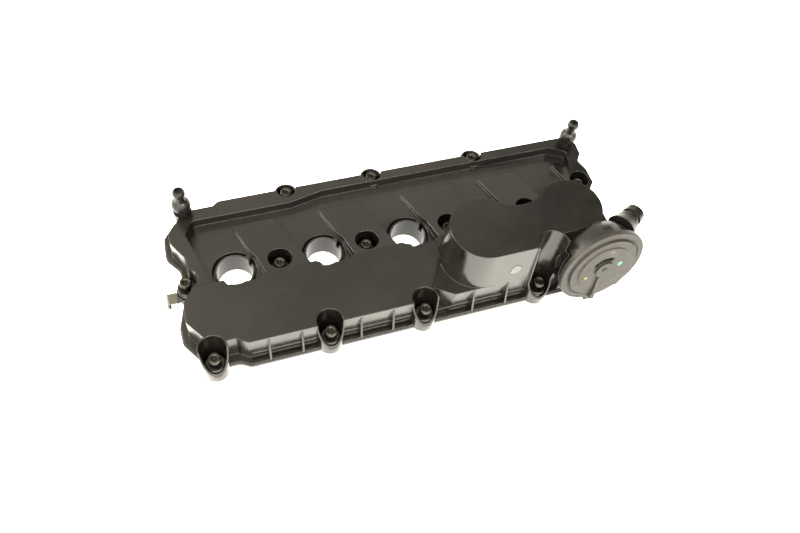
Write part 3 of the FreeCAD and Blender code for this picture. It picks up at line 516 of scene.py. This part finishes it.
def printed(name):
    """Pale paper with three rows of grey print that spells nothing."""
    material = surface(name, (0.105, 0.117, 0.124), (0.12, 0.134, 0.142), (0.4, 0.5),
                       blotch=90.0)
    tree = material.node_tree
    rows = tree.nodes.new("ShaderNodeTexWave")
    rows.bands_direction = "Z"
    rows.inputs["Scale"].default_value = 110.0
    rows.inputs["Distortion"].default_value = 2.0
    rows.inputs["Detail Scale"].default_value = 9.0
    tree.links.new(object_coords(tree), rows.inputs["Vector"])
    ink = ramp(tree, rows.outputs["Fac"], 0.35, 0.6, 0.0, 1.0)
    paint_over(material, ink, (0.03, 0.034, 0.037))
    return material


label = placed("chamber_label", label_mesh())
label.data.materials.append(printed("label_paper"))
label.modifiers.new("thick", "SOLIDIFY").thickness = LABEL_THICK * MM
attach(label, "cover")


# ---------------------------------------------------------------- floor

FLOOR_HALF = 7.0
FLOOR_DROP = 0.4

sheet = bpy.data.meshes.new("floor")
sheet.from_pydata([(-FLOOR_HALF, -FLOOR_HALF, 0), (FLOOR_HALF, -FLOOR_HALF, 0),
                   (FLOOR_HALF, FLOOR_HALF, 0), (-FLOOR_HALF, FLOOR_HALF, 0)],
                  [], [(0, 1, 2, 3)])
floor = placed("floor", sheet)
floor.location.z = -FLOOR_DROP * MM
paint = surface("floor_paint", (0.86, 0.86, 0.86), (0.88, 0.88, 0.88), (0.85, 0.9),
                blotch=2.0, grain=60.0)
glow = paint.node_tree.nodes["Principled BSDF"]
glow.inputs["Emission Color"].default_value = (1.0, 0.99, 0.96, 1.0)
glow.inputs["Emission Strength"].default_value = 1.07
sheet.materials.append(paint)


# ---------------------------------------------------------------- light

WARM = (1.0, 0.93, 0.80)

# Name, place, width and height in metres, radiance. Each faces the middle of the part.
LIGHTS = (
    ("key", (-0.9, -1.5, 1.9), 1.2, 1.2, 6.0),
    ("left_strip", (-1.8, 1.0, 1.15), 1.0, 1.6, 18.0),
    ("front_strip", (0.6, -1.65, 1.63), 1.4, 0.7, 16.0),
)


def area_light(name, place, width, height, radiance):
    data = bpy.data.lights.new(name, "AREA")
    data.shape = "RECTANGLE"
    data.size = width
    data.size_y = height
    data.energy = radiance * math.pi * width * height
    data.color = WARM
    lamp = placed(name, data)
    lamp.location = place
    lamp.rotation_euler = (-Vector(place)).to_track_quat("-Z", "Y").to_euler()


def toward(tree, ray, direction, start, end, away, facing):
    """Sky strength that goes from away to facing as the ray nears a direction."""
    cosine = against(tree, "DOT_PRODUCT", ray, Vector(direction).normalized())
    return ramp(tree, cosine, start, end, away, facing, eased=True)


def studio_sky():
    """Warm sky, dim above the right rear, bright above the front, softly clouded."""
    world = bpy.data.worlds.new("studio")
    bpy.context.scene.world = world
    world.use_nodes = True
    tree = world.node_tree
    sky = tree.nodes["Background"]
    ray = tree.nodes.new("ShaderNodeTexCoord").outputs["Generated"]
    rear = toward(tree, ray, (0.75, 0.1, 0.65), 0.82, 0.91, 1.45, 0.25)
    front = toward(tree, ray, (-0.30, -0.80, 0.52), 0.15, 0.85, 0.0, 4.2)
    clouds = ramp(tree, noise(tree, ray, 3.4, 2.0), 0.35, 0.65, 0.78, 1.2)
    both = arithmetic(tree, "ADD", rear, front)
    tree.links.new(arithmetic(tree, "MULTIPLY", both, clouds), sky.inputs["Strength"])
    sky.inputs["Color"].default_value = (*WARM, 1.0)


studio_sky()
for light_row in LIGHTS:
    area_light(*light_row)


# ---------------------------------------------------------------- camera

# The camera looks down on the part from its front left.
EYE = Vector((-0.2138, -0.3823, 0.6762))
RIGHT = Vector((0.9442, -0.3077, 0.1175)).normalized()
BACK = Vector((-0.2550, -0.4571, 0.8521)).normalized()
OVER = BACK.cross(RIGHT).normalized()

camera_data = bpy.data.cameras.new("camera")
camera_data.lens = 34.65
camera_data.sensor_width = 36.0
camera_data.clip_start = 0.01
camera = placed("camera", camera_data)
camera.matrix_world = Matrix((
    (RIGHT.x, OVER.x, BACK.x, EYE.x),
    (RIGHT.y, OVER.y, BACK.y, EYE.y),
    (RIGHT.z, OVER.z, BACK.z, EYE.z),
    (0, 0, 0, 1),
))
bpy.context.scene.camera = camera
bpy.context.scene.view_settings.view_transform = "Standard"
